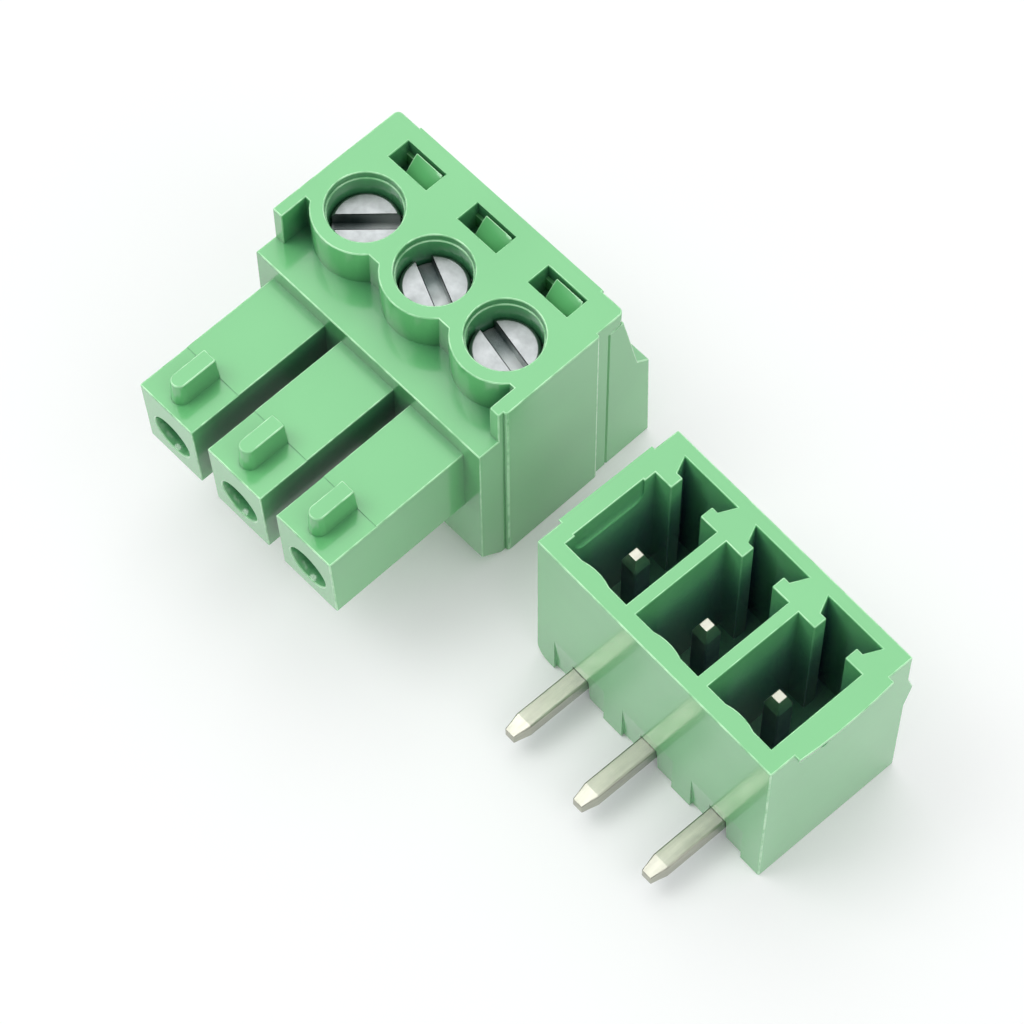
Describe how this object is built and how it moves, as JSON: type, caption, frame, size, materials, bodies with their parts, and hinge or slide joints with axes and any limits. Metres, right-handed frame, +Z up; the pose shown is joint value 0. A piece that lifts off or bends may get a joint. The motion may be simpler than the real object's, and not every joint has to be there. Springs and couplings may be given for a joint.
{
  "type": "pluggable terminal block",
  "caption": "Pluggable terminal block: screw-clamp wire plug with coded prongs, unplugged beside its right-angle pin header for a circuit board.",
  "frame": {"origin": "middle of the row of poles on the plug's underside, straight below the middle screw's axis", "axes": "+X along the row of poles, towards the header; +Y the way the wires leave the plug; +Z up along the clamping screws"},
  "size_m": [0.0292, 0.0157, 0.0109],
  "materials": {
    "green_plastic": "moulded, semi-gloss",
    "plated_screw": "bright plated",
    "plated_clamp": "plated, satin",
    "tinned_contact": "tin-plated, satin",
    "tinned_pin": "tin-plated, satin"
  },
  "bodies": {
    "plug": {"plug_housing": "green_plastic", "rear_cover": "green_plastic", "plug_contact_1": "tinned_contact", "plug_contact_2": "tinned_contact", "plug_contact_3": "tinned_contact"},
    "screw_1": {"clamp_screw_1": "plated_screw"},
    "screw_2": {"clamp_screw_2": "plated_screw"},
    "screw_3": {"clamp_screw_3": "plated_screw"},
    "clamp_1": {"wire_clamp_1": "plated_clamp"},
    "clamp_2": {"wire_clamp_2": "plated_clamp"},
    "clamp_3": {"wire_clamp_3": "plated_clamp"},
    "header": {"header_housing": "green_plastic", "header_pin_1": "tinned_pin", "header_pin_2": "tinned_pin", "header_pin_3": "tinned_pin"}
  },
  "joints": [
    {"name": "screw_1_turn", "type": "hinge", "parent": "plug", "child": "screw_1", "pos_m": [-0.00381, 0, 0.0098], "axis": [0, 0, 1], "range_deg": [-1440, 0]},
    {"name": "screw_2_turn", "type": "hinge", "parent": "plug", "child": "screw_2", "pos_m": [0, 0, 0.0098], "axis": [0, 0, 1], "range_deg": [-1440, 0]},
    {"name": "screw_3_turn", "type": "hinge", "parent": "plug", "child": "screw_3", "pos_m": [0.00381, 0, 0.0098], "axis": [0, 0, 1], "range_deg": [-1440, 0]},
    {"name": "clamp_1_rise", "type": "slide", "parent": "plug", "child": "clamp_1", "axis": [0, 0, 1], "range_m": [0, 0.0016]},
    {"name": "clamp_2_rise", "type": "slide", "parent": "plug", "child": "clamp_2", "axis": [0, 0, 1], "range_m": [0, 0.0016]},
    {"name": "clamp_3_rise", "type": "slide", "parent": "plug", "child": "clamp_3", "axis": [0, 0, 1], "range_m": [0, 0.0016]},
    {"name": "header_lift", "type": "slide", "parent": "plug", "child": "header", "axis": [0, 0, 1], "range_m": [0, 0.015]}
  ],
  "couplings": [
    {"joint": "screw_1_turn", "follows": "clamp_1_rise", "rad_per_m": -15708},
    {"joint": "screw_2_turn", "follows": "clamp_2_rise", "rad_per_m": -15708},
    {"joint": "screw_3_turn", "follows": "clamp_3_rise", "rad_per_m": -15708}
  ]
}
